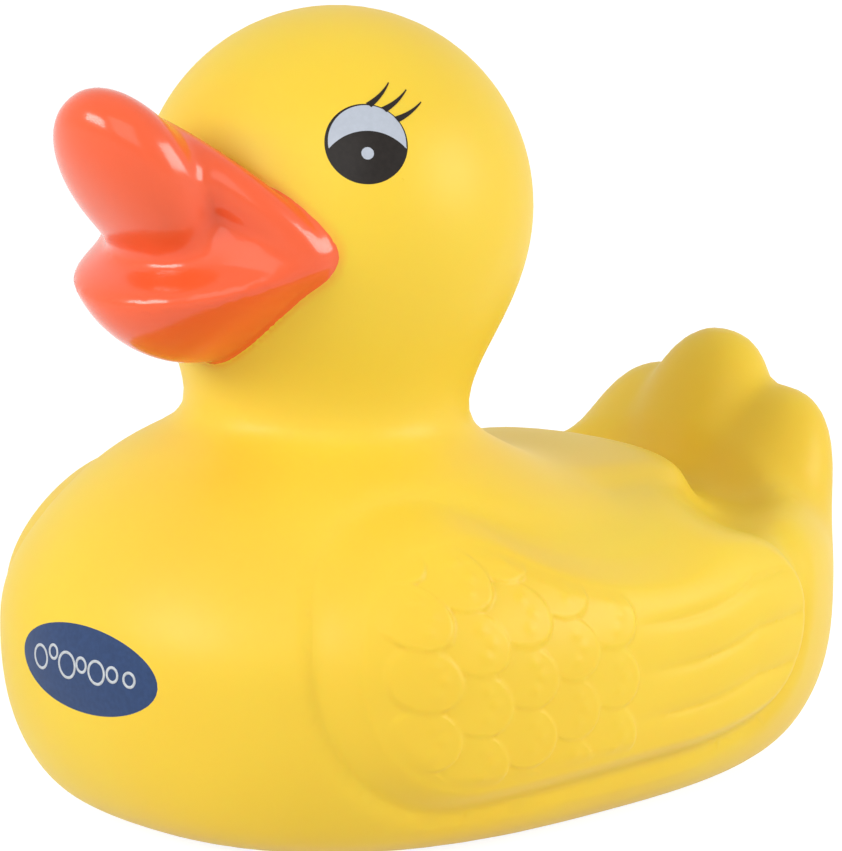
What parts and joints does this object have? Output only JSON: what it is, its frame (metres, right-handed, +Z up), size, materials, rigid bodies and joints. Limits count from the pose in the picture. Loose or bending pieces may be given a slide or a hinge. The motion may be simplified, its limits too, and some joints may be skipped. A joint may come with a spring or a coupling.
{
  "type": "rubber duck",
  "caption": "Hollow moulded vinyl bath duck with an open upturned bill, round eyes with lashes, scaled and grooved wings, a feathered tail and a flat base with a small vent.",
  "frame": {"origin": "on the flat base that the duck stands on, in its plane of symmetry, under the middle of the body", "axes": "-Y towards the bill, +X to the duck's left, +Z up"},
  "size_m": [0.0852, 0.1149, 0.0987],
  "materials": {
    "yellow_vinyl": "soft satin vinyl, with a gloss orange bill and printed eyes and chest badge"
  },
  "bodies": {
    "root": {"duck": "yellow_vinyl"}
  },
  "joints": []
}
